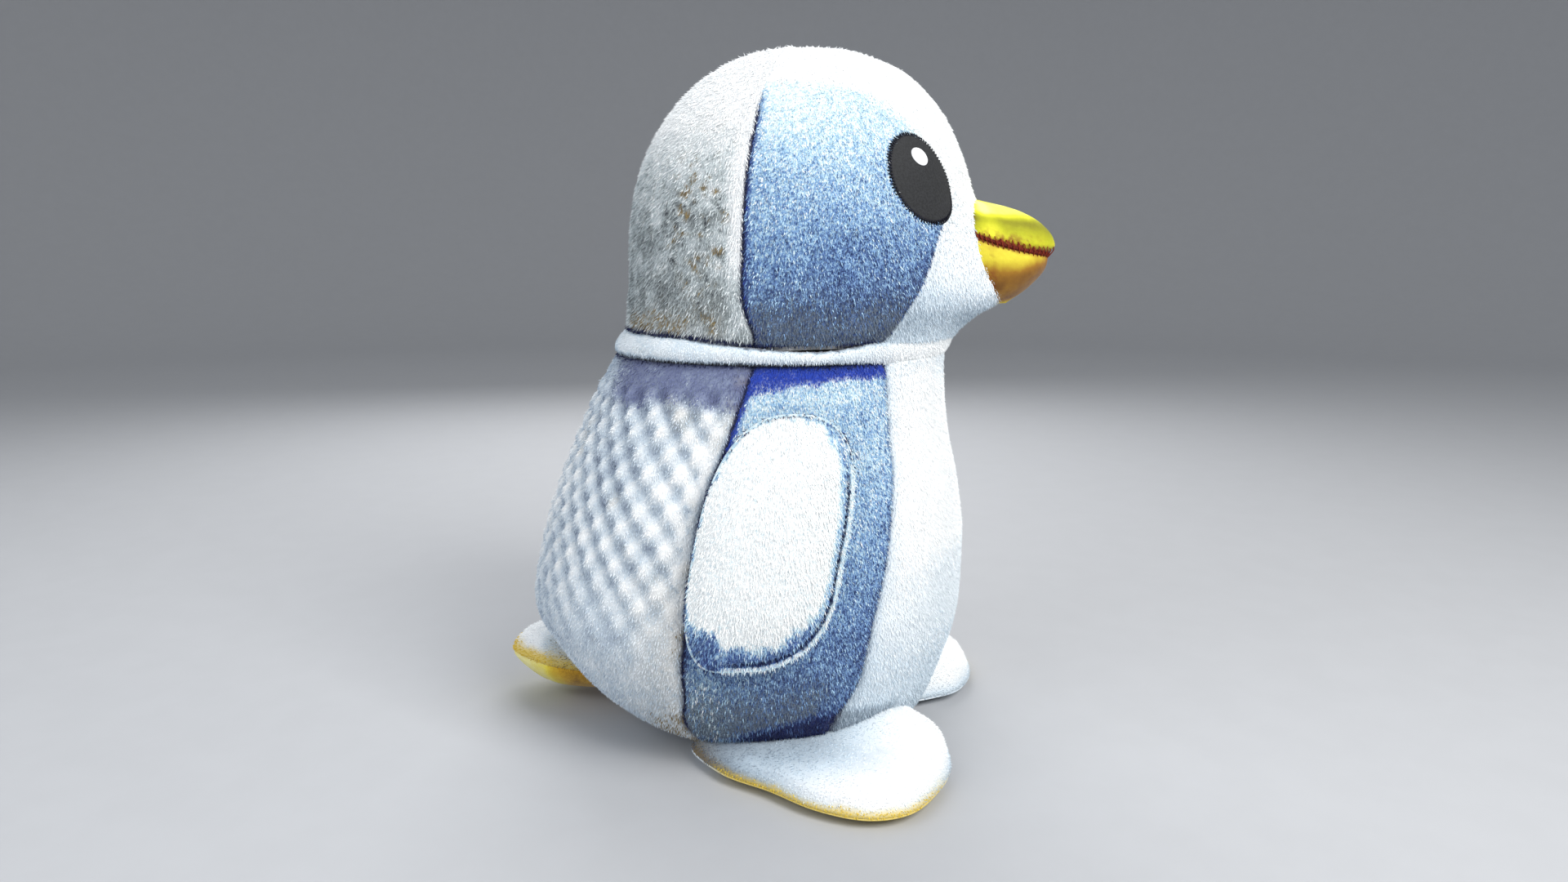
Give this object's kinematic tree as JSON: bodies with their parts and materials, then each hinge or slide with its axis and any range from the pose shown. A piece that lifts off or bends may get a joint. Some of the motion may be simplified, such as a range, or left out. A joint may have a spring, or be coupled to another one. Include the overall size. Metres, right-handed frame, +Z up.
{
  "type": "plush penguin",
  "caption": "Standing stuffed toy penguin with sewn fabric panels, a beak, side flippers, flat feet and a short tail that flex at their seams.",
  "frame": {"origin": "centre of the flat base panel's underside, on the surface that the toy stands on, on the middle plane", "axes": "+Z up, the penguin faces -Y, its left side is +X"},
  "size_m": [0.1892, 0.2441, 0.284],
  "materials": {
    "white_plush": "short white plush pile",
    "blue_plush": "short speckled blue plush pile",
    "silver_minky": "silver-white minky with raised dots",
    "cream_fleece": "smooth white to cream fleece",
    "yellow_fleece": "smooth yellow fleece",
    "beak_yellow": "smooth yellow felted cloth",
    "beak_orange": "smooth orange-gold felted cloth",
    "mouth_red": "dark red stitched piping",
    "eye_charcoal": "charcoal embroidered patch with a black edge",
    "glint_white": "white satin stitch",
    "fibrefill": "polyester fibre stuffing",
    "bag_cloth": "plain woven bag cloth"
  },
  "bodies": {
    "torso": {"body_back_panel": "silver_minky", "belly_panel": "white_plush", "body_side_panel_right": "blue_plush", "body_side_panel_left": "blue_plush", "base_panel": "silver_minky", "neck_band": "white_plush", "head_back_panel": "silver_minky", "face_panel": "white_plush", "head_side_panel_right": "blue_plush", "head_side_panel_left": "blue_plush", "body_stuffing": "fibrefill", "head_stuffing": "fibrefill", "pellet_bag": "bag_cloth", "eye_right": "eye_charcoal", "eye_left": "eye_charcoal", "eye_glint_right": "glint_white", "eye_glint_left": "glint_white", "beak_upper": "beak_yellow", "beak_lower": "beak_orange", "mouth_piping": "mouth_red", "beak_stuffing": "fibrefill"},
    "right_flipper": {"flipper_outer_right": "blue_plush", "flipper_lining_right": "blue_plush", "flipper_stuffing_right": "fibrefill"},
    "left_flipper": {"flipper_outer_left": "blue_plush", "flipper_lining_left": "blue_plush", "flipper_stuffing_left": "fibrefill"},
    "right_foot": {"foot_upper_right": "cream_fleece", "foot_sole_right": "yellow_fleece", "foot_stuffing_right": "fibrefill"},
    "left_foot": {"foot_upper_left": "cream_fleece", "foot_sole_left": "yellow_fleece", "foot_stuffing_left": "fibrefill"},
    "tail": {"tail_upper": "cream_fleece", "tail_lower": "yellow_fleece", "tail_stuffing": "fibrefill"}
  },
  "joints": [
    {"name": "right_flipper_flap", "type": "hinge", "parent": "torso", "child": "right_flipper", "pos_m": [-0.0695, -0.0205, 0.1455], "axis": [-0.3159, 0.9488, 0], "range_deg": [0, 80]},
    {"name": "left_flipper_flap", "type": "hinge", "parent": "torso", "child": "left_flipper", "pos_m": [0.0695, -0.0205, 0.1455], "axis": [-0.3159, -0.9488, 0], "range_deg": [0, 80]},
    {"name": "right_foot_lift", "type": "hinge", "parent": "torso", "child": "right_foot", "pos_m": [-0.05, 0.025, 0.007], "axis": [-0.3449, 0.9386, 0], "range_deg": [0, 12]},
    {"name": "left_foot_lift", "type": "hinge", "parent": "torso", "child": "left_foot", "pos_m": [0.05, 0.025, 0.007], "axis": [-0.3449, -0.9386, 0], "range_deg": [0, 12]},
    {"name": "tail_lift", "type": "hinge", "parent": "torso", "child": "tail", "pos_m": [0, 0.0974, 0.0315], "axis": [1, 0, 0], "range_deg": [0, 25]}
  ]
}
